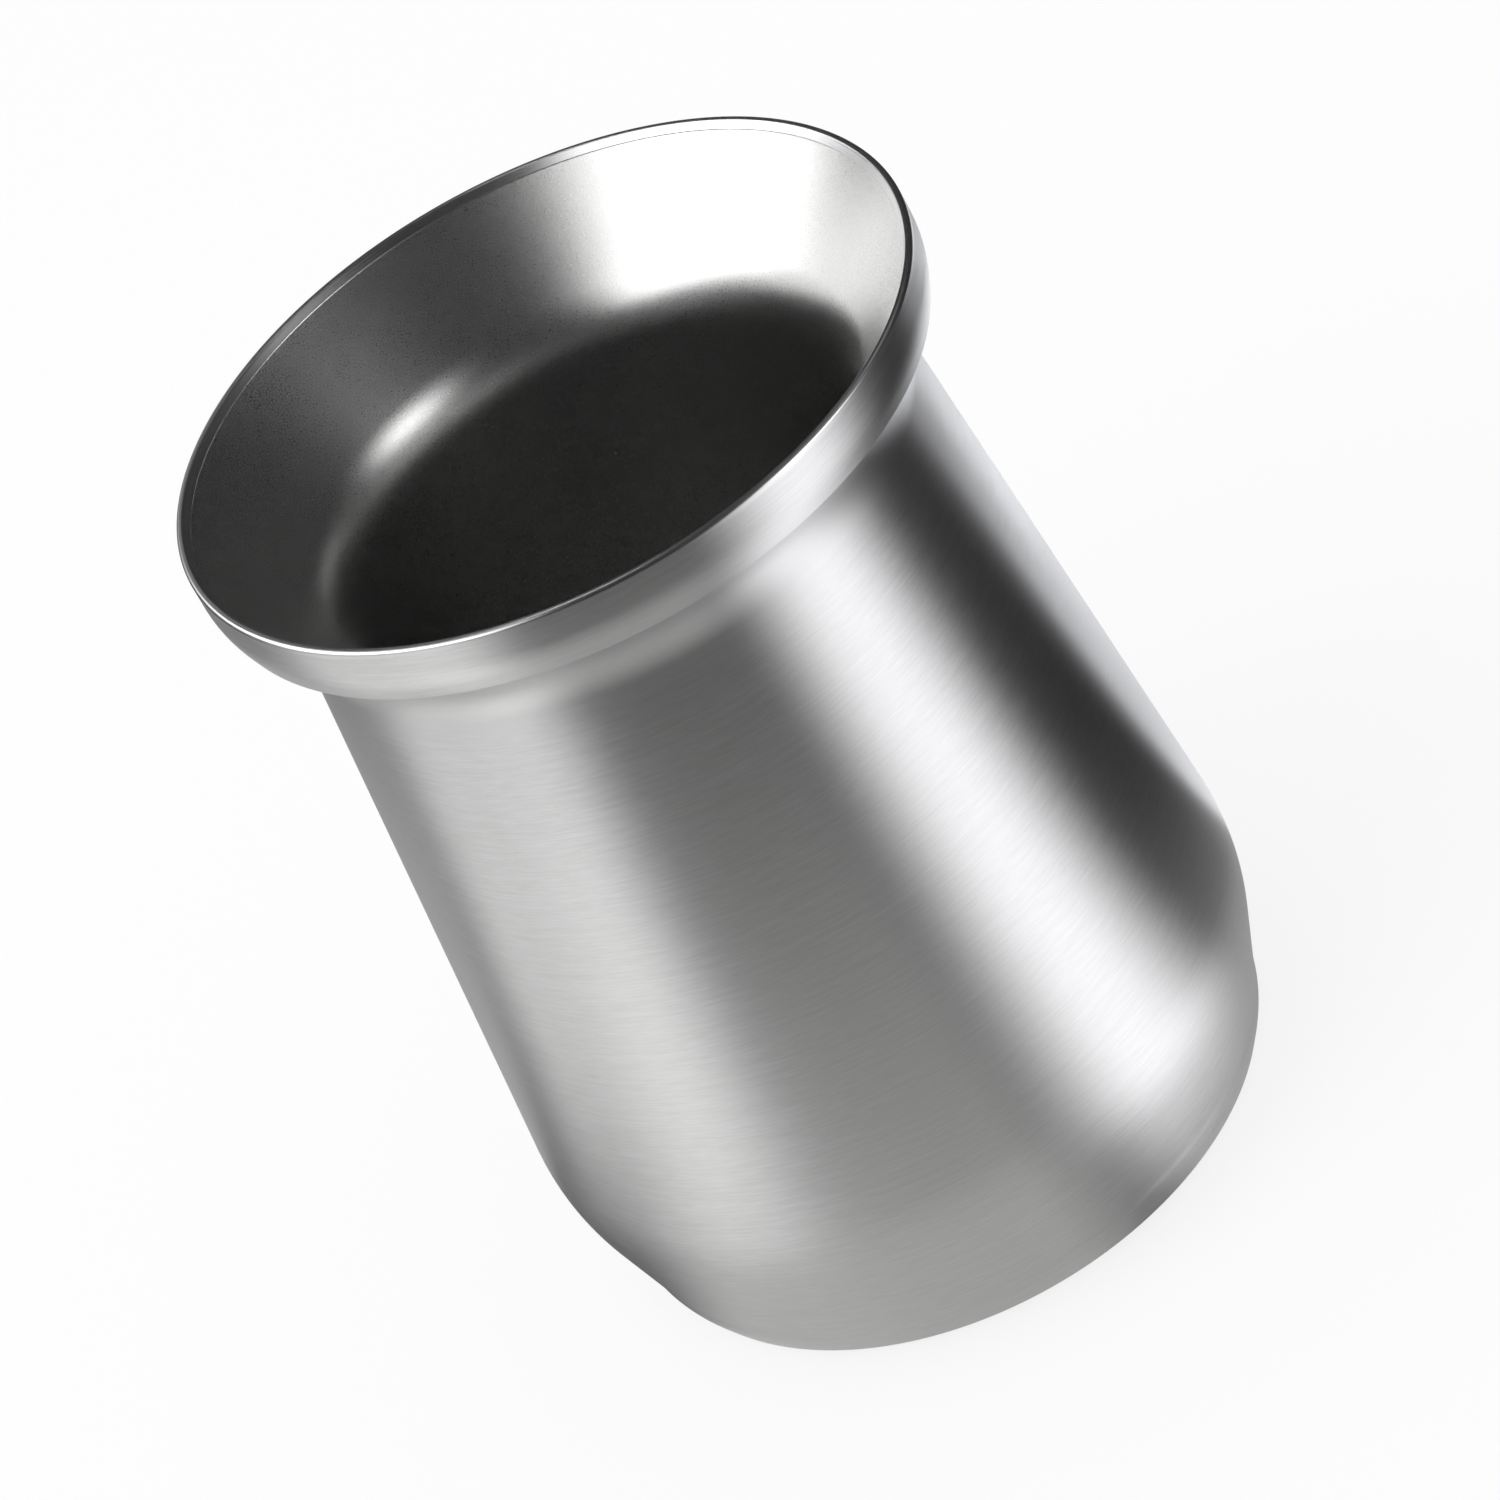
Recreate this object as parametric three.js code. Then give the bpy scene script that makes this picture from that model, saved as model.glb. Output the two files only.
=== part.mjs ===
// A steel mate cup: a double-walled, vacuum-insulated vessel with a flared mouth.
// Millimetres, +Z up. The cup stands on z = 0 with its axis along Z.
// Each sheet-metal piece is one path, followed from the base or the axis upwards and outwards,
// with a wall thickness set off to one side of it.
import * as THREE from 'three';

// Overall size
const cupHeight = 104;

// Sheet thickness of each pressed or drawn piece
const shellWall = 0.5;
const linerWall = 0.5;
const plateWall = 0.6;
const capWall = 0.6;
const foilWall = 0.2;
const clipWall = 0.3;

// Gaps left between neighbouring pieces
const weldGap = 0.1;
const seatGap = 0.2;
const lipGap = 0.3;

// Band round the mouth: an upright face that draws in towards its lower edge
const bandRadius = 40;
const bandHeight = 7;
const bandFaceHeight = 4.4;
const bandFaceRound = 8;
const bandEdgeDrawIn = 0.94;
const bandEdgeRound = 0.5;

// Mouth and bore of the liner
const boreRadius = 28;
const throatDepth = 13.8;
const throatRound = 11;
const lipLandHeight = 1.7;
const lipLandRound = 1.5;
const floorRound = 10;

// Vacuum space at the neck and under the liner's floor
const neckGap = 4.6;
const floorGap = 4.5;

// Neck and body, whose shoulder lines up with the band
const neckDrop = 2.85;
const neckRound = 8;
const shoulderOutset = 0.1;
const shoulderHeight = 17.4;
const shoulderRound = 25;

// Foot, closed by the base cap
const seamHeight = 4.6;
const seamInset = 3.9;
const footWallInset = 0.2;
const footKneeHeight = 2.9;
const footKneeRound = 6;
const footBaseInset = 1.8;
const footEdgeRound = 1;
const restRingWidth = 8;
const recessHeight = 1.2;
const recessSlope = 1.5;
const recessRound = 0.8;

// Vacuum bottom, with the dimple that is sealed after the air is drawn out
const flangeHeight = 2.9;
const flangeRound = 1.5;
const dimpleRise = 1.6;
const dimpleRadius = 3.2;
const dimpleSlope = 1.4;
const evacuationRadius = 1;
const plugThickness = 0.9;
const plugRound = 0.6;

// Foil sleeve on the liner
const foilMargin = 2;

// Getter pellet and the clip that holds it on the vacuum bottom
const getterRadius = 3;
const getterThickness = 1;
const getterOffset = 18;
const clipWidth = 3;
const clipFoot = 2;

// Fineness of the turned surfaces: sides round the axis, how far an arc's chords may stray from it,
// and how close two points are one
const roundSteps = 48;
const smallRoundSteps = 24;
const arcTolerance = 0.04;
const samePoint = 1e-6;

// Heights and radii that follow from the values above
const lipWidth = shellWall + lipGap + linerWall;
const beadRadius = lipWidth / 2;
const lipEdgeHeight = cupHeight - beadRadius - weldGap;
const lipInnerRadius = bandRadius - lipWidth;
const bandEdgeHeight = cupHeight - bandHeight;
const neckRadius = boreRadius + linerWall + neckGap + shellWall;
const bodyRadius = bandRadius + shoulderOutset;
const seamRadius = bodyRadius - seamInset;
const throatHeight = cupHeight - throatDepth;
const landHeight = cupHeight - lipLandHeight;
const plateHeight = seamHeight + flangeHeight;
const floorHeight = plateHeight + floorGap + linerWall;
const linerRadius = boreRadius + linerWall;
const flangeRadius = seamRadius - shellWall - seatGap;
const footKneeRadius = seamRadius - footWallInset;
const footBaseRadius = seamRadius - footBaseInset;
const restRingInner = footBaseRadius - restRingWidth;

const brushedSteel = { color: 0xb4b5b6, roughness: 0.34, metalness: 1 };
const satinSteel = { color: 0x8d8d8c, roughness: 0.5, metalness: 1 };
const polishedSteel = { color: 0xc9cacb, roughness: 0.18, metalness: 1 };
const plainSteel = { color: 0xa2a3a4, roughness: 0.42, metalness: 1 };
const foilMetal = { color: 0xc4c6c8, roughness: 0.25, metalness: 1 };
const sinteredMetal = { color: 0x4b4c50, roughness: 0.85, metalness: 0.6 };
const solderGlass = { color: 0x2f2a24, roughness: 0.2, metalness: 0 };

// A corner of a path: distance from the axis, height, and the radius that rounds it off
function corner(radius, height, round = 0) {
  return { at: new THREE.Vector2(radius, height), round };
}

// Signed turn of a path at one corner, left turns positive
function turnAt(corners, i) {
  const before = corners[i].at.clone().sub(corners[i - 1].at);
  const after = corners[i + 1].at.clone().sub(corners[i].at);
  return Math.atan2(before.cross(after), before.dot(after));
}

// Length that a corner's rounding takes from the straight runs beside it
function roundingReach(round, turn) {
  return round * Math.tan(Math.abs(turn) / 2);
}

// How far along each run the rounding starts: two roundings share a run that is too short for both
function reaches(corners) {
  const inner = (i) => i > 0 && i < corners.length - 1;
  const wanted = corners.map((c, i) => (inner(i) ? roundingReach(c.round, turnAt(corners, i)) : 0));
  return wanted.map((reach, i) => {
    let share = 1;
    for (const j of [i - 1, i + 1]) {
      if (!corners[j] || reach === 0) continue;
      share = Math.min(share, corners[i].at.distanceTo(corners[j].at) / (reach + wanted[j]));
    }
    return reach * share;
  });
}

// Points of a path with each corner replaced by an arc, each point once where two arcs meet
function roundedPath(corners) {
  const reach = reaches(corners);
  const points = [];
  corners.forEach((c, i) => {
    if (reach[i] === 0) {
      points.push(c.at.clone());
      return;
    }
    const turn = turnAt(corners, i);
    const before = c.at.clone().sub(corners[i - 1].at).normalize();
    const radius = reach[i] / Math.tan(Math.abs(turn) / 2);
    const side = Math.sign(turn);
    const start = c.at.clone().addScaledVector(before, -reach[i]);
    const centre = new THREE.Vector2(-before.y, before.x).multiplyScalar(side * radius).add(start);
    const widestStep = 2 * Math.acos(Math.max(0, 1 - arcTolerance / radius));
    const steps = Math.max(1, Math.ceil(Math.abs(turn) / widestStep));
    for (let k = 0; k <= steps; k++) {
      points.push(start.clone().rotateAround(centre, (turn * k) / steps));
    }
  });
  return points.filter((p, i) => i === 0 || p.distanceTo(points[i - 1]) > samePoint);
}

// The same path set off to the left by a distance, or to the right by a negative one
function offsetPath(corners, distance) {
  const directions = corners.slice(1).map((c, i) => c.at.clone().sub(corners[i].at).normalize());
  const normals = directions.map((d) => new THREE.Vector2(-d.y, d.x));
  return corners.map((c, i) => {
    const before = normals[Math.max(i - 1, 0)];
    const after = normals[Math.min(i, normals.length - 1)];
    const mitre = before.clone().add(after).normalize();
    const at = c.at.clone().addScaledVector(mitre, distance / mitre.dot(before));
    const ends = i === 0 || i === corners.length - 1;
    const side = ends ? 0 : Math.sign(turnAt(corners, i));
    const round = c.round === 0 ? 0 : Math.max(c.round - side * distance, 0);
    return { at, round };
  });
}

// A solid turned round Z from an outline that runs outwards or upwards along its outer side first
function turned(outline, steps = roundSteps) {
  const onAxis = outline[0].x === 0 && outline.at(-1).x === 0;
  const points = onAxis ? outline : [...outline, outline[0].clone()];
  return new THREE.LatheGeometry(points, steps).rotateX(Math.PI / 2);
}

// A turned sheet between a path and the same path set off by the wall, left positive
function turnedSheet(corners, wall) {
  const near = roundedPath(corners);
  const far = roundedPath(offsetPath(corners, wall));
  const outer = wall > 0 ? near : far;
  const inner = wall > 0 ? far : near;
  return turned([...outer, ...inner.reverse()]);
}

function piece(name, geometry, look) {
  const mesh = new THREE.Mesh(geometry, new THREE.MeshStandardMaterial(look));
  mesh.name = name;
  return mesh;
}

// Outer shell, from the seam at the foot up to the lip
function outerShell() {
  const outside = [
    corner(seamRadius, seamHeight),
    corner(bodyRadius, shoulderHeight, shoulderRound),
    corner(neckRadius, bandEdgeHeight - neckDrop, neckRound),
    corner(bandRadius - bandEdgeDrawIn, bandEdgeHeight, bandEdgeRound),
    corner(bandRadius, cupHeight - bandFaceHeight, bandFaceRound),
    corner(bandRadius, lipEdgeHeight),
  ];
  return piece('outer_shell', turnedSheet(outside, shellWall), brushedSteel);
}

// Liner, from the middle of its floor out to the bore and up through the throat to the lip
function innerLiner() {
  const inside = [
    corner(0, floorHeight),
    corner(boreRadius, floorHeight, floorRound),
    corner(boreRadius, throatHeight, throatRound),
    corner(lipInnerRadius, landHeight, lipLandRound),
    corner(lipInnerRadius, lipEdgeHeight),
  ];
  return piece('inner_liner', turnedSheet(inside, -linerWall), satinSteel);
}

// Weld bead that joins the two walls and makes the rounded lip
function rimWeld() {
  const base = cupHeight - beadRadius;
  const overTheTop = roundedPath([
    corner(bandRadius, base),
    corner(bandRadius, cupHeight, beadRadius),
    corner(lipInnerRadius, cupHeight, beadRadius),
    corner(lipInnerRadius, base),
  ]);
  return piece('rim_weld', turned(overTheTop), polishedSteel);
}

// Plate that closes the vacuum space, with its flange down against the shell
function vacuumBottom() {
  const top = [
    corner(evacuationRadius, plateHeight + dimpleRise),
    corner(dimpleRadius, plateHeight + dimpleRise),
    corner(dimpleRadius + dimpleSlope, plateHeight),
    corner(flangeRadius, plateHeight, flangeRound),
    corner(flangeRadius, seamHeight),
  ];
  return piece('vacuum_bottom', turnedSheet(top, -plateWall), plainSteel);
}

// Glass bead that fills the dimple from below and stops its hole
function sealPlug() {
  const top = plateHeight + dimpleRise - plateWall - seatGap;
  const stem = evacuationRadius - seatGap;
  const rim = dimpleRadius - plateWall - seatGap;
  const outline = roundedPath([
    corner(0, top - plugThickness),
    corner(rim, top - plugThickness, plugRound),
    corner(rim, top),
    corner(stem, top),
    corner(stem, plateHeight + dimpleRise),
    corner(0, plateHeight + dimpleRise),
  ]);
  return piece('seal_plug', turned(outline, smallRoundSteps), solderGlass);
}

// Cap that closes the foot: a recess in the middle, a flat ring to rest on and a short wall
function baseCap() {
  const recessRadius = restRingInner - recessSlope;
  const outside = [
    corner(0, recessHeight),
    corner(recessRadius, recessHeight, recessRound),
    corner(restRingInner, 0, recessRound),
    corner(footBaseRadius, 0, footEdgeRound),
    corner(footKneeRadius, footKneeHeight, footKneeRound),
    corner(seamRadius, seamHeight - seatGap),
  ];
  return piece('base_cap', turnedSheet(outside, capWall), brushedSteel);
}

// Foil sleeve that lies round the straight part of the liner
function radiationFoil() {
  const mouthTurn = Math.atan2(lipInnerRadius - boreRadius, landHeight - throatHeight);
  const low = floorHeight + floorRound + foilMargin;
  const high = throatHeight - roundingReach(throatRound, mouthTurn) - foilMargin;
  const inside = linerRadius + seatGap;
  const sleeve = [corner(inside + foilWall, low), corner(inside + foilWall, high)];
  return piece('radiation_foil', turnedSheet(sleeve, foilWall), foilMetal);
}

// Getter pellet, lying on the vacuum bottom
function getterPellet() {
  const low = plateHeight + seatGap;
  const outline = roundedPath([
    corner(0, low),
    corner(getterRadius, low),
    corner(getterRadius, low + getterThickness),
    corner(0, low + getterThickness),
  ]);
  const mesh = piece('getter_pellet', turned(outline, smallRoundSteps), sinteredMetal);
  mesh.position.x = getterOffset;
  return mesh;
}

// Bridge of steel strip over the pellet, with a foot on each side
function getterClip() {
  const inside = getterRadius + seatGap;
  const outside = inside + clipWall;
  const under = getterThickness + 2 * seatGap;
  const half = [
    [inside, 0],
    [outside + clipFoot, 0],
    [outside + clipFoot, clipWall],
    [outside, clipWall],
    [outside, under + clipWall],
  ];
  const right = [[inside, under], ...half].map(([x, y]) => new THREE.Vector2(x, y));
  const left = right.map((p) => new THREE.Vector2(-p.x, p.y)).reverse();
  const strip = new THREE.ExtrudeGeometry(new THREE.Shape([...right, ...left]), {
    depth: clipWidth,
    bevelEnabled: false,
  });
  strip.translate(0, 0, -clipWidth / 2).rotateX(Math.PI / 2).rotateZ(Math.PI / 2);
  const mesh = piece('getter_clip', strip, plainSteel);
  mesh.position.set(getterOffset, 0, plateHeight + seatGap);
  return mesh;
}

const cup = new THREE.Group();
cup.name = 'mate_cup';
cup.add(outerShell(), innerLiner(), rimWeld());
cup.add(vacuumBottom(), sealPlug(), baseCap());
cup.add(radiationFoil(), getterPellet(), getterClip());

export default cup;
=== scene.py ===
"""Builds the looks of a double-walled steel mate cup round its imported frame.

The four walls that show are turned afresh and finished in steel. The sealed pieces between the walls stay
as the frame has them and get their own finishes. All sizes are in metres, in the frame's own axes.
"""

import math

import bpy
from bpy.props import FloatProperty, FloatVectorProperty, PointerProperty
from mathutils import Matrix, Vector


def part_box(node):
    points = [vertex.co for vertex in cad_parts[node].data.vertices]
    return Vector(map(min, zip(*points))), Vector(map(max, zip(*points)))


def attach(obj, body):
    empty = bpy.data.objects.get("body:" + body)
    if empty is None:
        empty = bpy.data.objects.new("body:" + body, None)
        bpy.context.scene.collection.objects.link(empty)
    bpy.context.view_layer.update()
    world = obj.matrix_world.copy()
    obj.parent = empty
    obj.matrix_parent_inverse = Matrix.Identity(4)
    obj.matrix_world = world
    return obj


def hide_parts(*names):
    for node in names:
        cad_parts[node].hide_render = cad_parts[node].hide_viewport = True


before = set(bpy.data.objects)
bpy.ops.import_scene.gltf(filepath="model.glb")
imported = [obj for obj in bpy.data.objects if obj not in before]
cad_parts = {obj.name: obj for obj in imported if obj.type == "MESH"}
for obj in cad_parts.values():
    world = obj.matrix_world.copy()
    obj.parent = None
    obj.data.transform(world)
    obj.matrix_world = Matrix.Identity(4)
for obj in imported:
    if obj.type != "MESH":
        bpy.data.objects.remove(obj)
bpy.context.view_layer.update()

bl_info = {
    "name": "Steel Mate Cup",
    "version": (1, 0, 0),
    "blender": (4, 5, 0),
    "location": "3D View > Sidebar > Mate Cup",
    "description": "Turns the walls of a double-walled steel mate cup and finishes them",
    "category": "Add Mesh",
}

# Places that the frame gives
SHELL_FOOT, SHELL_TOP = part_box("outer_shell")
LINER_FOOT, LINER_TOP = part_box("inner_liner")
LIP_FOOT, LIP_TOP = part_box("rim_weld")
CAP_FOOT, CAP_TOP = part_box("base_cap")
WALL_TOP = SHELL_TOP.z
LIP_HEIGHT = LIP_TOP.z
BAND_RADIUS = LIP_TOP.x
SEAM_RADIUS = CAP_TOP.x
SEAM_HEIGHT = (CAP_TOP.z + SHELL_FOOT.z) / 2

# How finely round shapes are cut
ROUND_STEPS = 192
ARC_STEP = math.radians(2.5)
FEWEST_STEPS = 8
LONGEST_RUN = 0.0025
SMOOTH_ANGLE = math.radians(35)


def length(label, note, default):
    """A length that a user can change."""
    return FloatProperty(name=label, description=note, default=default, min=0.0, unit="LENGTH", precision=5)


def share(label, note, default):
    """A number from 0 to 1 that a user can change."""
    return FloatProperty(name=label, description=note, default=default, min=0.0, max=1.0, subtype="FACTOR")


def colour(label, note, default):
    """A colour that a user can change."""
    return FloatVectorProperty(
        name=label, description=note, default=default, size=3, min=0.0, max=1.0, subtype="COLOR"
    )


class ShellSizes(bpy.types.PropertyGroup):
    """The outer wall, from the lip down to the foot seam"""

    band_height: length("Band height", "From the lip down to the band's lower edge", 0.007)
    face_height: length("Band face", "From the lip down to where the band draws in", 0.0044)
    face_rounding: length("Band face rounding", "Radius where the band draws in", 0.008)
    edge_inset: length("Band edge inset", "How far the band's lower edge draws in", 0.00094)
    edge_rounding: length("Band edge rounding", "Radius of the band's lower edge", 0.0005)
    neck_radius: length("Neck radius", "Where the neck would be narrowest without its rounding", 0.0336)
    neck_drop: length("Neck drop", "From the band's lower edge down to the neck", 0.00285)
    neck_rounding: length("Neck rounding", "Radius of the hollow neck", 0.008)
    shoulder_outset: length("Shoulder outset", "How far the shoulder's corner lies outside the band", 0.0001)
    shoulder_height: length("Shoulder height", "Where the body turns in towards the foot", 0.0174)
    shoulder_rounding: length("Shoulder rounding", "Radius of the shoulder", 0.025)
    wall: length("Wall", "Thickness of the steel", 0.0005)


class LinerSizes(bpy.types.PropertyGroup):
    """The inner wall, from the floor of the bore up to the lip"""

    bore_radius: length("Bore radius", "Radius of the straight bore", 0.028)
    floor_rounding: length("Floor rounding", "Radius between the floor and the bore", 0.010)
    throat_depth: length("Throat depth", "From the lip down to where the mouth meets the bore", 0.0138)
    throat_rounding: length("Throat rounding", "Radius of the throat", 0.011)
    land_depth: length("Land depth", "From the lip down to the steep land at the mouth", 0.00085)
    land_rounding: length("Land rounding", "Radius where the land meets the flare", 0.00025)
    wall: length("Wall", "Thickness of the steel", 0.0005)


class LipSizes(bpy.types.PropertyGroup):
    """The bead that joins the two walls"""

    crest_inset: length("Crest inset", "From the band in to the crest of the lip", 0.0007)
    crest_rounding: length("Crest rounding", "Radius inside the crest", 0.0002)
    outer_rounding: length("Outer rounding", "Radius between the crest and the band", 0.0004)


class FootSizes(bpy.types.PropertyGroup):
    """The foot that closes the cup"""

    recess: length("Recess", "How far the middle of the foot is pressed in", 0.0012)
    recess_radius: length("Recess radius", "Radius of the pressed-in middle", 0.0249)
    recess_slope: length("Recess slope", "Width of the slope round the recess", 0.0015)
    base_radius: length("Base radius", "Outer radius of the flat ring", 0.0344)
    ring_rounding: length("Ring rounding", "Radius inside the flat ring", 0.0008)
    base_rounding: length("Base rounding", "Radius outside the flat ring", 0.001)
    knee_inset: length("Knee inset", "How far the foot draws in below the seam", 0.0002)
    knee_height: length("Knee height", "Where the foot turns towards the flat ring", 0.0029)
    knee_rounding: length("Knee rounding", "Radius of that turn", 0.006)
    seam_rounding: length("Seam rounding", "Radius of the hollow where foot and shell meet", 0.005)
    wall: length("Wall", "Thickness of the steel", 0.0006)


class SteelFinish(bpy.types.PropertyGroup):
    """The steel that shows"""

    outside: colour("Outside", "Steel of the brushed outside", (0.62, 0.62, 0.63))
    inside: colour("Inside", "Steel of the satin inside", (0.60, 0.60, 0.595))
    lip: colour("Lip", "Steel of the polished lip", (0.66, 0.66, 0.67))
    outside_roughness: share("Outside roughness", "Gloss of the brushed outside", 0.36)
    outside_grain: share("Outside grain", "How far the brush draws highlights out along the axis", 0.80)
    inside_roughness: share("Inside roughness", "Gloss of the satin inside", 0.30)
    lip_roughness: share("Lip roughness", "Gloss of the polished lip", 0.30)
    lip_grain: share("Lip grain", "How far the lip's turning lines draw highlights out", 0.60)


class CupSettings(bpy.types.PropertyGroup):
    """All the settings of the cup"""

    shell: PointerProperty(type=ShellSizes, name="Outer shell")
    liner: PointerProperty(type=LinerSizes, name="Inner liner")
    lip: PointerProperty(type=LipSizes, name="Lip")
    foot: PointerProperty(type=FootSizes, name="Foot")
    steel: PointerProperty(type=SteelFinish, name="Steel")


# Shapes


def corner_arc(before, corner, after):
    """Points of the arc that rounds a corner, each as a radius and a height."""
    here = Vector(corner[:2])
    back = (Vector(before[:2]) - here).normalized()
    ahead = (Vector(after[:2]) - here).normalized()
    half_angle = back.angle(ahead) / 2
    turn = math.pi - 2 * half_angle
    radius = corner[2]
    middle = here + (back + ahead).normalized() * (radius / math.sin(half_angle))
    start = here + back * (radius / math.tan(half_angle)) - middle
    side = 1 if back.cross(ahead) < 0 else -1
    steps = max(FEWEST_STEPS, math.ceil(turn / ARC_STEP))
    turns = [Matrix.Rotation(side * turn * step / steps, 2) for step in range(steps + 1)]
    return [middle + rotation @ start for rotation in turns]


def profile(corners):
    """Points along a wall: corners are (radius, height) or, where rounded, (radius, height, rounding)."""
    points = []
    for number, corner in enumerate(corners):
        if len(corner) == 3:
            points += corner_arc(corners[number - 1], corner, corners[number + 1])
        else:
            points.append(Vector(corner))
    path = points[:1]
    for point in points[1:]:
        run = point - path[-1]
        pieces = max(1, math.ceil(run.length / LONGEST_RUN))
        path += [path[-1] + run * (piece / pieces) for piece in range(1, pieces + 1)]
    return path


def pull_rings(name, path, has_floor=False):
    """Starts a ring at the path's first point and pulls it along the path, as a wall is turned."""
    bpy.ops.object.select_all(action="DESELECT")
    bpy.ops.mesh.primitive_circle_add(
        vertices=ROUND_STEPS,
        radius=path[0].x,
        fill_type="TRIFAN" if has_floor else "NOTHING",
        location=(0, 0, path[0].y),
    )
    piece = bpy.context.object
    piece.name = piece.data.name = name
    bpy.ops.object.transform_apply(location=True, rotation=False, scale=False)
    bpy.ops.object.mode_set(mode="EDIT")
    bpy.ops.mesh.select_mode(type="EDGE")
    if has_floor:
        bpy.ops.mesh.select_all(action="DESELECT")
        bpy.ops.mesh.select_non_manifold(use_wire=False, use_multi_face=False, use_non_contiguous=False)
    else:
        bpy.ops.mesh.select_all(action="SELECT")
    for here, there in zip(path, path[1:]):
        grow = there.x / here.x
        bpy.ops.mesh.extrude_region_move(TRANSFORM_OT_translate={"value": (0, 0, there.y - here.y)})
        bpy.ops.transform.resize(value=(grow, grow, 1), center_override=(0, 0, there.y))
    bpy.ops.mesh.select_all(action="SELECT")
    bpy.ops.mesh.remove_doubles(threshold=1e-7)
    bpy.ops.mesh.normals_make_consistent(inside=False)
    bpy.ops.object.mode_set(mode="OBJECT")
    return piece


def point_outwards(piece):
    """Turns an open wall's faces away from the axis, whichever way they were found."""
    widest = max(piece.data.polygons, key=lambda face: face.center.xy.length * (1 - abs(face.normal.z)))
    if widest.normal.xy.dot(widest.center.xy) < 0:
        bpy.ops.object.mode_set(mode="EDIT")
        bpy.ops.mesh.select_all(action="SELECT")
        bpy.ops.mesh.flip_normals()
        bpy.ops.object.mode_set(mode="OBJECT")


def thicken(piece, wall, side):
    """Gives a turned sheet its wall: side 1 grows it away from the axis, and -1 towards it."""
    point_outwards(piece)
    solid = piece.modifiers.new("wall", "SOLIDIFY")
    solid.thickness = wall
    solid.offset = side
    solid.use_even_offset = True
    bpy.ops.object.modifier_apply(modifier=solid.name)


def outside_path(shell, foot):
    """The outside from the middle of the foot up to the lip, and the number of its point at the seam."""
    band_edge = LIP_HEIGHT - shell.band_height
    path = profile([
        (foot.recess_radius / 20, foot.recess),
        (foot.recess_radius, foot.recess, foot.ring_rounding),
        (foot.recess_radius + foot.recess_slope, CAP_FOOT.z, foot.ring_rounding),
        (foot.base_radius, CAP_FOOT.z, foot.base_rounding),
        (SEAM_RADIUS - foot.knee_inset, foot.knee_height, foot.knee_rounding),
        (SEAM_RADIUS, SEAM_HEIGHT, foot.seam_rounding),
        (BAND_RADIUS + shell.shoulder_outset, shell.shoulder_height, shell.shoulder_rounding),
        (shell.neck_radius, band_edge - shell.neck_drop, shell.neck_rounding),
        (BAND_RADIUS - shell.edge_inset, band_edge, shell.edge_rounding),
        (BAND_RADIUS, LIP_HEIGHT - shell.face_height, shell.face_rounding),
        (BAND_RADIUS, WALL_TOP),
    ])
    seam = min(range(len(path)), key=lambda number: abs(path[number].y - SEAM_HEIGHT))
    return path, seam


def smooth(piece):
    """Shades round stretches smooth and keeps real edges."""
    bpy.ops.object.shade_smooth_by_angle(angle=SMOOTH_ANGLE)
    return piece


def place(piece, node, finish):
    """Puts a finished piece in the frame, in place of a node."""
    piece.data.materials.clear()
    piece.data.materials.append(finish)
    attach(piece, "root")
    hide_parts(node)


# Finishes

# Lines: their length and width at the band's radius, and how much finer detail they hold
FINE_LINES = (0.003, 0.00016, 3.0)
LONG_LINES = (0.012, 0.00032, 2.0)
TURNING_LINES = (0.02, 0.00012, 2.0)
BRUSH_DEPTH = 0.000006
TURNING_DEPTH = 0.000003
OUTSIDE_CLOUDS = 0.022
INSIDE_CLOUDS = 0.012
GRIT_SIZE = 0.00015
GRIT_DEPTH = 0.000014
ACROSS_THE_BRUSH = 0.25

# Heights between which a finish changes, and how far it changes
NECK_FADE = (0.084, 0.091)
NECK_BRUSH = 0.2
BAND_FADE = 0.001
BORE_FADE = (0.080, 0.092)
BORE_GRIT = 0.3
FLOOR_FADE = (0.014, 0.024)
FLOOR_ROUGHNESS = 0.3


def add_node(tree, kind, inputs=None, **settings):
    """Adds a shader node, sets its options, and sets or links its inputs."""
    made = tree.nodes.new(kind)
    for option, value in settings.items():
        setattr(made, option, value)
    for socket, value in (inputs or {}).items():
        if isinstance(value, bpy.types.NodeSocket):
            tree.links.new(value, made.inputs[socket])
        else:
            made.inputs[socket].default_value = value
    return made


def new_finish(name):
    """A material with an empty Principled shader, as its tree and that shader."""
    finish = bpy.data.materials.new(name)
    finish.use_nodes = True
    tree = finish.node_tree
    return finish, tree, tree.nodes["Principled BSDF"]


def arithmetic(tree, operation, first, second, third=0.0):
    """The result of a Math node."""
    made = add_node(tree, "ShaderNodeMath", {0: first, 1: second, 2: third}, operation=operation)
    return made.outputs[0]


def wall_coordinates(tree):
    """A place on a wall as its way round the axis and along the wall, its height, and the plain place."""
    spot = add_node(tree, "ShaderNodeTexCoord").outputs["Object"]
    parts = add_node(tree, "ShaderNodeSeparateXYZ", {0: spot})
    level = add_node(tree, "ShaderNodeCombineXYZ", {0: parts.outputs[0], 1: parts.outputs[1]}).outputs[0]
    radius = add_node(tree, "ShaderNodeVectorMath", {0: level}, operation="LENGTH").outputs["Value"]
    round_way = add_node(tree, "ShaderNodeVectorMath", {0: level}, operation="NORMALIZE").outputs[0]
    along = arithmetic(tree, "ADD", parts.outputs[2], radius)
    turned = add_node(tree, "ShaderNodeSeparateXYZ", {0: round_way})
    ways = {0: turned.outputs[0], 1: turned.outputs[1], 2: along}
    wall = add_node(tree, "ShaderNodeCombineXYZ", ways).outputs[0]
    return wall, parts.outputs[2], spot


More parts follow.
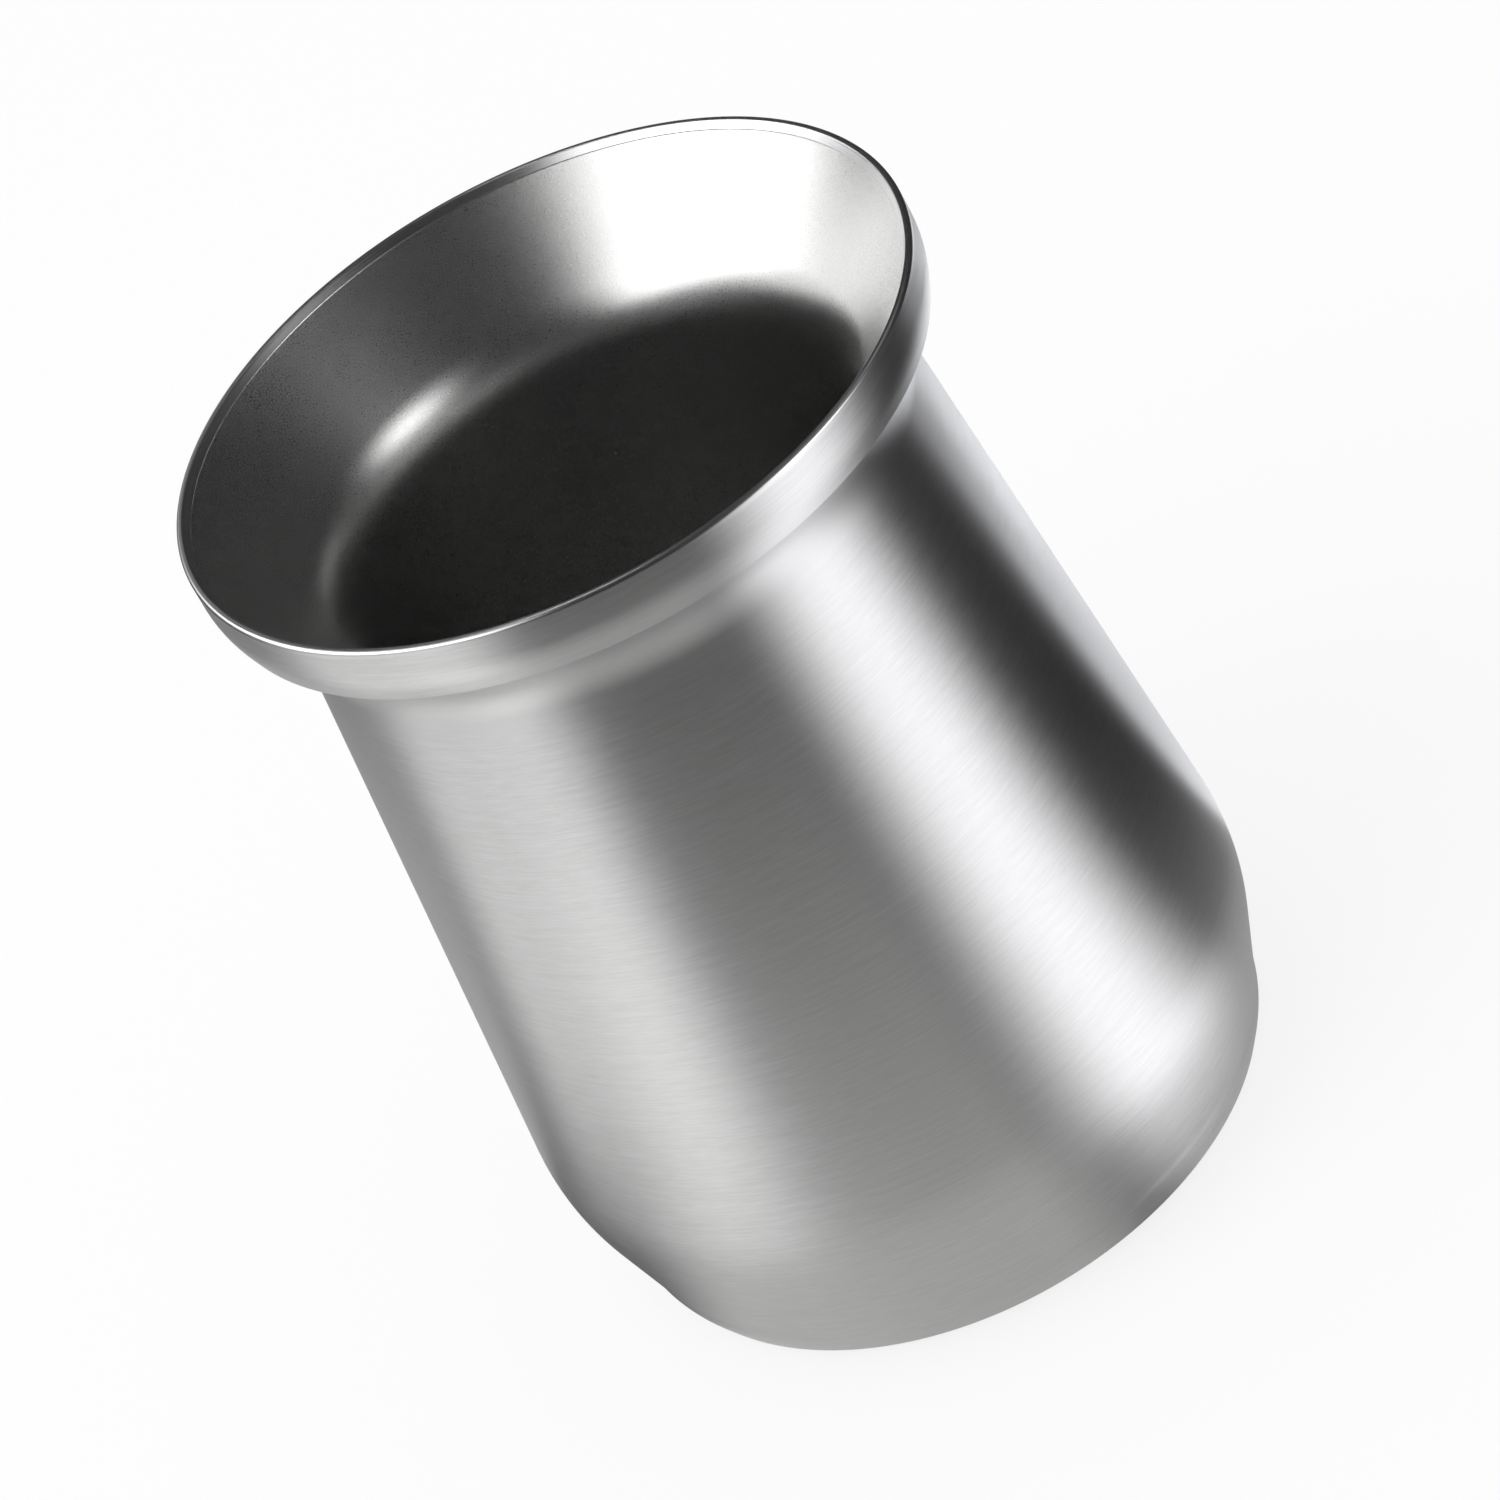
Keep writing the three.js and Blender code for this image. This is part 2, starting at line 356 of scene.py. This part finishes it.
def streaks(tree, wall, streak_length, streak_width, detail):
    """Short lines round the axis, as long and as wide as told at the band's radius."""
    round_scale = BAND_RADIUS / streak_length
    stretched = add_node(
        tree,
        "ShaderNodeVectorMath",
        {0: wall, 1: (round_scale, round_scale, 1 / streak_width)},
        operation="MULTIPLY",
    )
    noise = add_node(
        tree,
        "ShaderNodeTexNoise",
        {"Vector": stretched.outputs[0], "Scale": 1.0, "Detail": detail, "Roughness": 0.6},
    )
    return noise.outputs["Fac"]


def grains(tree, spot, size, detail):
    """Even grain of a size, the same in all directions."""
    noise = add_node(
        tree, "ShaderNodeTexNoise", {"Vector": spot, "Scale": 1 / size, "Detail": detail, "Roughness": 0.6}
    )
    return noise.outputs["Fac"]


def cells(tree, spot, scale):
    """How far a place lies from the middle of its cell."""
    made = add_node(tree, "ShaderNodeTexVoronoi", {"Vector": spot, "Scale": scale}, feature="F1")
    return made.outputs[0]


def spread(tree, value, low, high):
    """A texture's middle range, stretched to run from low to high."""
    made = add_node(
        tree,
        "ShaderNodeMapRange",
        {"Value": value, "From Min": 0.3, "From Max": 0.7, "To Min": low, "To Max": high},
    )
    return made.outputs[0]


def tinted(tree, value, steel, low, high):
    """A steel colour that a texture makes lighter and darker."""
    made = add_node(
        tree,
        "ShaderNodeMix",
        {
            "Factor": value,
            6: [part * low for part in steel] + [1.0],
            7: [min(1.0, part * high) for part in steel] + [1.0],
        },
        data_type="RGBA",
    )
    return made.outputs[2]


def bump(tree, height, depth, strength=1.0):
    """The normal of a surface that a texture raises by a depth."""
    made = add_node(tree, "ShaderNodeBump", {"Strength": strength, "Distance": depth, "Height": height})
    return made.outputs[0]


def link_shader(tree, shader, inputs):
    """Sets or links a shader's inputs."""
    for socket, value in inputs.items():
        if isinstance(value, bpy.types.NodeSocket):
            tree.links.new(value, shader.inputs[socket])
        else:
            shader.inputs[socket].default_value = value


def round_the_axis(tree):
    """The way round the axis, along which the steel is brushed."""
    return add_node(tree, "ShaderNodeTangent", direction_type="RADIAL", axis="Z").outputs[0]


def brush_reach(tree, height, band_edge):
    """How strongly the brush marks a height: fully on body and band, and hardly in the hollow neck."""
    body = add_node(
        tree,
        "ShaderNodeMapRange",
        {
            "Value": height,
            "From Min": NECK_FADE[0],
            "From Max": NECK_FADE[1],
            "To Min": 1.0,
            "To Max": NECK_BRUSH,
        },
        interpolation_type="SMOOTHSTEP",
    )
    band = add_node(
        tree,
        "ShaderNodeMapRange",
        {"Value": height, "From Min": band_edge - BAND_FADE, "From Max": band_edge},
    )
    return arithmetic(tree, "MAXIMUM", body.outputs[0], band.outputs[0])


def brushed_steel(steel, band_edge):
    """Steel brushed round the axis: short fine lines, which draw each highlight out along the axis."""
    finish, tree, shader = new_finish("brushed_steel")
    wall, height, spot = wall_coordinates(tree)
    fine = streaks(tree, wall, *FINE_LINES)
    long_lines = streaks(tree, wall, *LONG_LINES)
    clouds = grains(tree, spot, OUTSIDE_CLOUDS, 2.0)
    lines = arithmetic(tree, "MULTIPLY_ADD", long_lines, 0.6, fine)
    lines = arithmetic(tree, "MULTIPLY_ADD", lines, 0.625, -0.5)
    lines = arithmetic(tree, "MULTIPLY_ADD", lines, brush_reach(tree, height, band_edge), 0.5)
    roughness = arithmetic(
        tree,
        "ADD",
        spread(tree, lines, steel.outside_roughness - 0.04, steel.outside_roughness + 0.04),
        spread(tree, clouds, -0.012, 0.012),
    )
    link_shader(
        tree,
        shader,
        {
            "Base Color": tinted(tree, spread(tree, lines, 0.0, 1.0), steel.outside, 0.9, 1.08),
            "Metallic": 1.0,
            "Roughness": roughness,
            "Anisotropic": steel.outside_grain,
            "Anisotropic Rotation": ACROSS_THE_BRUSH,
            "Tangent": round_the_axis(tree),
            "Normal": bump(tree, lines, BRUSH_DEPTH),
        },
    )
    return finish


def satin_steel(steel):
    """Steel blasted with fine grit: a satin with glints in the mouth, and a smoother one in the bore."""
    finish, tree, shader = new_finish("satin_steel")
    _, height, spot = wall_coordinates(tree)
    grit = grains(tree, spot, GRIT_SIZE, 2.0)
    clouds = grains(tree, spot, INSIDE_CLOUDS, 2.0)
    reach = add_node(
        tree,
        "ShaderNodeMapRange",
        {
            "Value": height,
            "From Min": BORE_FADE[0],
            "From Max": BORE_FADE[1],
            "To Min": BORE_GRIT,
            "To Max": 1.0,
        },
        interpolation_type="SMOOTHSTEP",
    )
    matt_floor = add_node(
        tree,
        "ShaderNodeMapRange",
        {
            "Value": height,
            "From Min": FLOOR_FADE[0],
            "From Max": FLOOR_FADE[1],
            "To Min": FLOOR_ROUGHNESS,
            "To Max": 0.0,
        },
        interpolation_type="SMOOTHSTEP",
    )
    roughness = arithmetic(
        tree,
        "ADD",
        spread(tree, grit, steel.inside_roughness - 0.05, steel.inside_roughness + 0.05),
        matt_floor.outputs[0],
    )
    roughness = arithmetic(tree, "ADD", roughness, spread(tree, clouds, -0.01, 0.01))
    link_shader(
        tree,
        shader,
        {
            "Base Color": tinted(tree, spread(tree, grit, 0.0, 1.0), steel.inside, 0.9, 1.1),
            "Metallic": 1.0,
            "Roughness": roughness,
            "Normal": bump(tree, grit, GRIT_DEPTH, reach.outputs[0]),
        },
    )
    return finish


def polished_steel(steel):
    """Steel ground round and polished: faint turning lines on a soft bright lip."""
    finish, tree, shader = new_finish("polished_steel")
    wall, _, _ = wall_coordinates(tree)
    lines = streaks(tree, wall, *TURNING_LINES)
    link_shader(
        tree,
        shader,
        {
            "Base Color": tinted(tree, spread(tree, lines, 0.0, 1.0), steel.lip, 0.95, 1.04),
            "Metallic": 1.0,
            "Roughness": spread(tree, lines, steel.lip_roughness - 0.04, steel.lip_roughness + 0.05),
            "Anisotropic": steel.lip_grain,
            "Anisotropic Rotation": ACROSS_THE_BRUSH,
            "Tangent": round_the_axis(tree),
            "Normal": bump(tree, lines, TURNING_DEPTH),
        },
    )
    return finish


def rolled_steel():
    """Plain sheet as it comes from the mill, with faint rolling lines along X."""
    finish, tree, shader = new_finish("rolled_steel")
    spot = add_node(tree, "ShaderNodeTexCoord").outputs["Object"]
    drawn_out = add_node(tree, "ShaderNodeMapping", {"Vector": spot, "Scale": (0.04, 1.0, 1.0)}).outputs[0]
    lines = grains(tree, drawn_out, 0.0003, 3.0)
    link_shader(
        tree,
        shader,
        {
            "Base Color": tinted(tree, spread(tree, lines, 0.0, 1.0), (0.55, 0.55, 0.56), 0.88, 1.1),
            "Metallic": 1.0,
            "Roughness": spread(tree, lines, 0.32, 0.48),
            "Normal": bump(tree, lines, 0.000006),
        },
    )
    return finish


def bright_foil():
    """Thin bright foil with soft wrinkles."""
    finish, tree, shader = new_finish("bright_foil")
    spot = add_node(tree, "ShaderNodeTexCoord").outputs["Object"]
    wrinkles = cells(tree, spot, 180.0)
    shine = grains(tree, spot, 0.004, 2.0)
    link_shader(
        tree,
        shader,
        {
            "Base Color": tinted(tree, shine, (0.75, 0.76, 0.77), 0.92, 1.08),
            "Metallic": 1.0,
            "Roughness": spread(tree, shine, 0.12, 0.26),
            "Normal": bump(tree, wrinkles, 0.0003),
        },
    )
    return finish


def sintered_metal():
    """Dark metal powder, pressed and sintered, with open pores."""
    finish, tree, shader = new_finish("sintered_metal")
    spot = add_node(tree, "ShaderNodeTexCoord").outputs["Object"]
    powder = cells(tree, spot, 5000.0)
    pores = grains(tree, spot, 0.0005, 3.0)
    link_shader(
        tree,
        shader,
        {
            "Base Color": tinted(tree, spread(tree, pores, 0.0, 1.0), (0.12, 0.12, 0.13), 0.6, 1.3),
            "Metallic": 0.6,
            "Roughness": spread(tree, pores, 0.6, 0.85),
            "Normal": bump(tree, powder, 0.00005),
        },
    )
    return finish


def solder_glass():
    """Dark glass, melted in place, with a slightly uneven skin."""
    finish, tree, shader = new_finish("solder_glass")
    spot = add_node(tree, "ShaderNodeTexCoord").outputs["Object"]
    swirls = grains(tree, spot, 0.0012, 2.0)
    link_shader(
        tree,
        shader,
        {
            "Base Color": tinted(tree, spread(tree, swirls, 0.0, 1.0), (0.06, 0.05, 0.04), 0.7, 1.4),
            "Roughness": spread(tree, swirls, 0.08, 0.2),
            "IOR": 1.6,
            "Normal": bump(tree, swirls, 0.00004),
        },
    )
    return finish


# Stage

VIEW_ELEVATION = math.radians(33.882)
VIEW_ROLL = math.radians(-29.379)
LIP_FROM_CAMERA = Vector((-0.020813, -0.036849, 0.789157))
LENS = 192.0
SENSOR = 36.0

FLOOR_SIZE = 6.0
FLOOR_GAP = 0.0002
CARD_GAP = 0.00002
FLOOR_COLOUR = (0.82, 0.82, 0.82, 1.0)
FLOOR_WHITE_SHARE = 0.8
TENT_RADIUS = 0.6
TENT_OPENING = 0.02
PANEL_RADIUS = 0.5
PANEL_CENTRE = 0.06
PANEL_STEPS = 16
DARK = 0.035
NEUTRAL = (1.0, 1.0, 1.0, 1.0)
COOL = (0.97, 0.98, 1.0, 1.0)
WARM = (1.0, 1.0, 0.97, 1.0)
KEY_PLACE = (-0.5, -0.2, 0.9)
KEY_AIM = (0.5, 0.2, -0.85)
KEY_SIZE = 0.6
KEY_POWER = 2.5

# Soft boxes on a half globe round the cup: name, azimuths from the camera's side, elevations, how much of
# the width and of the height fades at each edge, tint, glow
SOFT_BOXES = (
    ("left_soft_box", (-112, -36), (0, 64), (0.15, 0.2), NEUTRAL, 2.4),
    ("left_back_box", (-150, -98), (14, 54), (0.22, 0.25), NEUTRAL, 2.6),
    ("right_strip", (18, 74), (-8, 16), (0.4, 0.3), NEUTRAL, 2.0),
    ("right_lamp", (32, 78), (6, 38), (0.35, 0.3), NEUTRAL, 3.0),
    ("back_soft_box", (-179, -132), (10, 38), (0.3, 0.3), NEUTRAL, 0.6),
    ("top_right_box", (95, 165), (40, 78), (0.3, 0.3), NEUTRAL, 0.3),
    ("top_left_box", (-179, -135), (60, 82), (0.3, 0.3), NEUTRAL, 2.4),
)

# Cards on the table: name, azimuths between which it lies, near and far radius, fading edges, tint, glow
TABLE_CARDS = (
    ("front_card", (-90, 34), (0.02, 0.17), (0.25, 0.1), WARM, 0.56),
    ("right_front_card", (12, 80), (0.036, 0.5), (0.45, 0.06), NEUTRAL, 1.6),
    ("right_foot_card", (20, 135), (0.02, 0.075), (0.15, 0.25), NEUTRAL, 0.5),
    ("right_near_card", (110, 205), (0.02, 0.19), (0.06, 0.1), COOL, 1.15),
    ("right_back_card", (118, 179), (0.1, 0.3), (0.25, 0.25), COOL, 0.8),
    ("left_card", (-122, -34), (0.05, 0.34), (0.3, 0.25), WARM, 1.0),
    ("back_left_card", (-179, -110), (0.02, 0.2), (0.2, 0.1), NEUTRAL, 0.5),
)


def soft_glow(name, soft, tint, glow):
    """A material that adds light to what lies behind it, and that fades at the edges of its panel."""
    finish = bpy.data.materials.new(name)
    finish.use_nodes = True
    tree = finish.node_tree
    tree.nodes.clear()
    place_on_panel = add_node(tree, "ShaderNodeTexCoord").outputs["UV"]
    ways = add_node(tree, "ShaderNodeSeparateXYZ", {0: place_on_panel})
    shares = []
    for way in (0, 1):
        off_middle = arithmetic(tree, "SUBTRACT", ways.outputs[way], 0.5)
        off_middle = arithmetic(tree, "ABSOLUTE", off_middle, 0.0)
        fade = add_node(
            tree,
            "ShaderNodeMapRange",
            {"Value": off_middle, "From Min": 0.5, "From Max": 0.5 - soft[way]},
            interpolation_type="SMOOTHSTEP",
        )
        shares.append(fade.outputs[0])
    inner = arithmetic(tree, "MULTIPLY", shares[0], shares[1])
    strength = arithmetic(tree, "MULTIPLY", inner, glow)
    light = add_node(tree, "ShaderNodeEmission", {"Color": tint, "Strength": strength})
    clear = add_node(tree, "ShaderNodeBsdfTransparent")
    both = add_node(tree, "ShaderNodeAddShader", {0: light.outputs[0], 1: clear.outputs[0]})
    add_node(tree, "ShaderNodeOutputMaterial", {"Surface": both.outputs[0]})
    leave_to_mirrors(finish)
    return finish


def leave_to_mirrors(finish):
    """Lets a glow be found by the steel's own rays only, which suits wide panels and renders sooner."""
    finish.cycles.emission_sampling = "NONE"


def show_in_metal_only(piece, finish):
    """Makes a panel one that the steel mirrors and that neither lights the floor nor hides the cup."""
    piece.data.materials.clear()
    piece.data.materials.append(finish)
    piece.visible_camera = False
    piece.visible_diffuse = False
    piece.visible_transmission = False
    piece.visible_shadow = False


def panel(name, azimuths, heights, spot_of, finish):
    """A curved panel: spot_of turns a share of its height into a distance from the axis and a height."""
    bpy.ops.mesh.primitive_grid_add(x_subdivisions=PANEL_STEPS, y_subdivisions=PANEL_STEPS, size=1)
    piece = bpy.context.object
    piece.name = name
    for corner in piece.data.vertices:
        turn = math.radians(azimuths[0] + (azimuths[1] - azimuths[0]) * (corner.co.x + 0.5))
        reach, height = spot_of(heights[0] + (heights[1] - heights[0]) * (corner.co.y + 0.5))
        corner.co = (reach * math.sin(turn), -reach * math.cos(turn), height)
    show_in_metal_only(piece, finish)


def soft_box(name, azimuths, elevations, soft, tint, glow):
    """A panel on the half globe round the cup."""

    def on_the_globe(elevation):
        rise = math.radians(elevation)
        return PANEL_RADIUS * math.cos(rise), PANEL_CENTRE + PANEL_RADIUS * math.sin(rise)

    panel(name, azimuths, elevations, on_the_globe, soft_glow(name, soft, tint, glow))


def table_card(name, azimuths, radii, soft, tint, glow, layer):
    """A card that lies on the table, over the cards of the layers below."""
    height = CARD_GAP * (2 + layer) - FLOOR_GAP
    panel(name, azimuths, radii, lambda radius: (radius, height), soft_glow(name, soft, tint, glow))


def dark_cloth():
    """A material that looks the same even dark from all sides."""
    finish = bpy.data.materials.new("dark_cloth")
    finish.use_nodes = True
    tree = finish.node_tree
    tree.nodes.clear()
    light = add_node(tree, "ShaderNodeEmission", {"Strength": DARK})
    add_node(tree, "ShaderNodeOutputMaterial", {"Surface": light.outputs[0]})
    leave_to_mirrors(finish)
    return finish


def dark_tent():
    """A dark tent over the set, which comes down to the table and in under the foot of the cup."""
    table = CARD_GAP - FLOOR_GAP
    bpy.ops.mesh.primitive_circle_add(vertices=64, radius=TENT_OPENING, location=(0, 0, table))
    tent = bpy.context.object
    tent.name = "dark_tent"
    bpy.ops.object.mode_set(mode="EDIT")
    bpy.ops.mesh.select_mode(type="EDGE")
    bpy.ops.mesh.select_all(action="SELECT")
    rises = [math.radians(angle) for angle in range(0, 90, 10)]
    rings = [(TENT_RADIUS * math.cos(rise), TENT_RADIUS * math.sin(rise)) for rise in rises]
    here = (TENT_OPENING, 0.0)
    for there in rings:
        bpy.ops.mesh.extrude_region_move(TRANSFORM_OT_translate={"value": (0, 0, there[1] - here[1])})
        grow = there[0] / here[0]
        bpy.ops.transform.resize(value=(grow, grow, 1), center_override=(0, 0, table + there[1]))
        here = there
    bpy.ops.mesh.edge_face_add()
    bpy.ops.object.mode_set(mode="OBJECT")
    show_in_metal_only(tent, dark_cloth())


def pale_floor():
    """A plain pale floor that stays white round the cup and keeps its shadow."""
    bpy.ops.mesh.primitive_plane_add(size=FLOOR_SIZE, location=(0, 0, -FLOOR_GAP))
    floor = bpy.context.object
    floor.name = "floor"
    finish = bpy.data.materials.new("pale_floor")
    finish.use_nodes = True
    tree = finish.node_tree
    tree.nodes.clear()
    matte = add_node(tree, "ShaderNodeBsdfDiffuse", {"Color": FLOOR_COLOUR})
    white = add_node(tree, "ShaderNodeEmission", {"Strength": 1.0})
    ray = add_node(tree, "ShaderNodeLightPath")
    seen = arithmetic(tree, "MAXIMUM", ray.outputs["Is Camera Ray"], ray.outputs["Is Glossy Ray"])
    seen = arithmetic(tree, "MAXIMUM", seen, ray.outputs["Is Transmission Ray"])
    amount = arithmetic(tree, "MULTIPLY", seen, FLOOR_WHITE_SHARE)
    mixed = add_node(tree, "ShaderNodeMixShader", {0: amount, 1: matte.outputs[0], 2: white.outputs[0]})
    add_node(tree, "ShaderNodeOutputMaterial", {"Surface": mixed.outputs[0]})
    floor.data.materials.append(finish)


def white_room():
    """An even white room, which lights the floor."""
    world = bpy.data.worlds.new("white_room")
    world.use_nodes = True
    world.node_tree.nodes["Background"].inputs["Color"].default_value = (1.0, 1.0, 1.0, 1.0)
    world.node_tree.nodes["Background"].inputs["Strength"].default_value = 1.0
    bpy.context.scene.world = world


def key_lamp():
    """One soft lamp from the upper left, which gives the cup a soft shadow."""
    bpy.ops.object.light_add(type="AREA", location=KEY_PLACE)
    lamp = bpy.context.object
    lamp.name = "key_lamp"
    lamp.data.shape = "RECTANGLE"
    lamp.data.size = KEY_SIZE
    lamp.data.size_y = KEY_SIZE
    lamp.data.energy = KEY_POWER
    lamp.rotation_euler = Vector(KEY_AIM).to_track_quat("-Z", "Y").to_euler()
    lamp.visible_glossy = False
    lamp.visible_camera = False


def view_camera():
    """The camera, which looks at the cup from above and is rolled, so that the cup seems tilted."""
    ahead = Vector((0, math.cos(VIEW_ELEVATION), -math.sin(VIEW_ELEVATION)))
    level_up = Vector((0, math.sin(VIEW_ELEVATION), math.cos(VIEW_ELEVATION)))
    level_right = Vector((1, 0, 0))
    right = level_right * math.cos(VIEW_ROLL) + level_up * math.sin(VIEW_ROLL)
    down = level_right * math.sin(VIEW_ROLL) - level_up * math.cos(VIEW_ROLL)
    lip_centre = Vector((0, 0, LIP_HEIGHT))
    spot = lip_centre - right * LIP_FROM_CAMERA.x - down * LIP_FROM_CAMERA.y - ahead * LIP_FROM_CAMERA.z
    bpy.ops.object.camera_add()
    camera = bpy.context.object
    camera.name = "photo_view"
    camera.data.lens = LENS
    camera.data.sensor_width = SENSOR
    camera.matrix_world = Matrix.Translation(spot) @ Matrix((right, -down, -ahead)).transposed().to_4x4()
    bpy.context.scene.camera = camera


# Operators


class MATECUP_OT_outer_shell(bpy.types.Operator):
    """Turns the outer wall with its band, neck, body and shoulder"""

    bl_idname = "mate_cup.outer_shell"
    bl_label = "Outer Shell"

    def execute(self, context):
        cup = context.scene.mate_cup
        path, seam = outside_path(cup.shell, cup.foot)
        shell = pull_rings("shell", path[seam:])
        thicken(shell, cup.shell.wall, -1)
        finish = brushed_steel(cup.steel, LIP_HEIGHT - cup.shell.band_height)
        place(smooth(shell), "outer_shell", finish)
        return {"FINISHED"}


class MATECUP_OT_inner_liner(bpy.types.Operator):
    """Turns the inner wall with its floor, bore, throat and flared mouth"""

    bl_idname = "mate_cup.inner_liner"
    bl_label = "Inner Liner"

    def execute(self, context):
        size = context.scene.mate_cup.liner
        floor = LINER_FOOT.z + size.wall
        mouth = LINER_TOP.x - size.wall
        middle = size.bore_radius / 20
        path = profile([
            (middle, floor),
            (size.bore_radius, floor, size.floor_rounding),
            (size.bore_radius, LIP_HEIGHT - size.throat_depth, size.throat_rounding),
            (mouth, LIP_HEIGHT - size.land_depth, size.land_rounding),
            (mouth, LINER_TOP.z),
        ])
        liner = pull_rings("liner", path, has_floor=True)
        thicken(liner, size.wall, 1)
        place(smooth(liner), "inner_liner", satin_steel(context.scene.mate_cup.steel))
        return {"FINISHED"}


class MATECUP_OT_lip(bpy.types.Operator):
    """Turns the lip that joins the two walls, rounded outside and sloped as the mouth inside"""

    bl_idname = "mate_cup.lip"
    bl_label = "Lip"

    def execute(self, context):
        size = context.scene.mate_cup.lip
        inner_radius = LINER_TOP.x - context.scene.mate_cup.liner.wall
        path = profile([
            (BAND_RADIUS, WALL_TOP),
            (BAND_RADIUS, LIP_HEIGHT, size.outer_rounding),
            (BAND_RADIUS - size.crest_inset, LIP_HEIGHT, size.crest_rounding),
            (inner_radius, WALL_TOP),
            (BAND_RADIUS, WALL_TOP),
        ])
        lip = pull_rings("lip", path)
        place(smooth(lip), "rim_weld", polished_steel(context.scene.mate_cup.steel))
        return {"FINISHED"}


class MATECUP_OT_foot(bpy.types.Operator):
    """Turns the foot with its flat ring and pressed-in middle"""

    bl_idname = "mate_cup.foot"
    bl_label = "Foot"

    def execute(self, context):
        cup = context.scene.mate_cup
        path, seam = outside_path(cup.shell, cup.foot)
        foot = pull_rings("foot", path[:seam + 1], has_floor=True)
        thicken(foot, cup.foot.wall, -1)
        place(smooth(foot), "base_cap", bpy.data.materials["brushed_steel"])
        return {"FINISHED"}


class MATECUP_OT_vacuum_pieces(bpy.types.Operator):
    """Gives the sealed pieces between the walls their finishes"""

    bl_idname = "mate_cup.vacuum_pieces"
    bl_label = "Vacuum Pieces"

    def execute(self, context):
        sheet = rolled_steel()
        finishes = {
            "vacuum_bottom": sheet,
            "getter_clip": sheet,
            "radiation_foil": bright_foil(),
            "getter_pellet": sintered_metal(),
            "seal_plug": solder_glass(),
        }
        for node, finish in finishes.items():
            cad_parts[node].data.materials.clear()
            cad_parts[node].data.materials.append(finish)
        return {"FINISHED"}


class MATECUP_OT_stage(bpy.types.Operator):
    """Sets up the floor, the studio light and the camera"""

    bl_idname = "mate_cup.stage"
    bl_label = "Stage"

    def execute(self, context):
        bpy.ops.object.select_all(action="DESELECT")
        context.scene.view_settings.view_transform = "Standard"
        white_room()
        pale_floor()
        dark_tent()
        for box in SOFT_BOXES:
            soft_box(*box)
        for layer, card in enumerate(TABLE_CARDS):
            table_card(*card, layer)
        key_lamp()
        view_camera()
        return {"FINISHED"}


class MATECUP_PT_cup(bpy.types.Panel):
    """Lists the steps that build the cup, with their settings"""

    bl_idname = "MATECUP_PT_cup"
    bl_label = "Mate Cup"
    bl_space_type = "VIEW_3D"
    bl_region_type = "UI"
    bl_category = "Mate Cup"

    def draw(self, context):
        settings = context.scene.mate_cup
        for step in STEPS:
            self.layout.operator(step.bl_idname)
        for group in (settings.shell, settings.liner, settings.lip, settings.foot, settings.steel):
            box = self.layout.box()
            for name in group.__annotations__:
                box.prop(group, name)


STEPS = (
    MATECUP_OT_outer_shell,
    MATECUP_OT_inner_liner,
    MATECUP_OT_lip,
    MATECUP_OT_foot,
    MATECUP_OT_vacuum_pieces,
    MATECUP_OT_stage,
)
CLASSES = (ShellSizes, LinerSizes, LipSizes, FootSizes, SteelFinish, CupSettings, *STEPS, MATECUP_PT_cup)


def register():
    """Adds the cup's classes and settings."""
    for kind in CLASSES:
        bpy.utils.register_class(kind)
    bpy.types.Scene.mate_cup = PointerProperty(type=CupSettings)


def unregister():
    """Takes the cup's classes and settings away."""
    del bpy.types.Scene.mate_cup
    for kind in reversed(CLASSES):
        bpy.utils.unregister_class(kind)


def main():
    """Builds the cup step by step."""
    register()
    bpy.ops.mate_cup.outer_shell()
    bpy.ops.mate_cup.inner_liner()
    bpy.ops.mate_cup.lip()
    bpy.ops.mate_cup.foot()
    bpy.ops.mate_cup.vacuum_pieces()
    bpy.ops.mate_cup.stage()


if __name__ == "__main__":
    main()
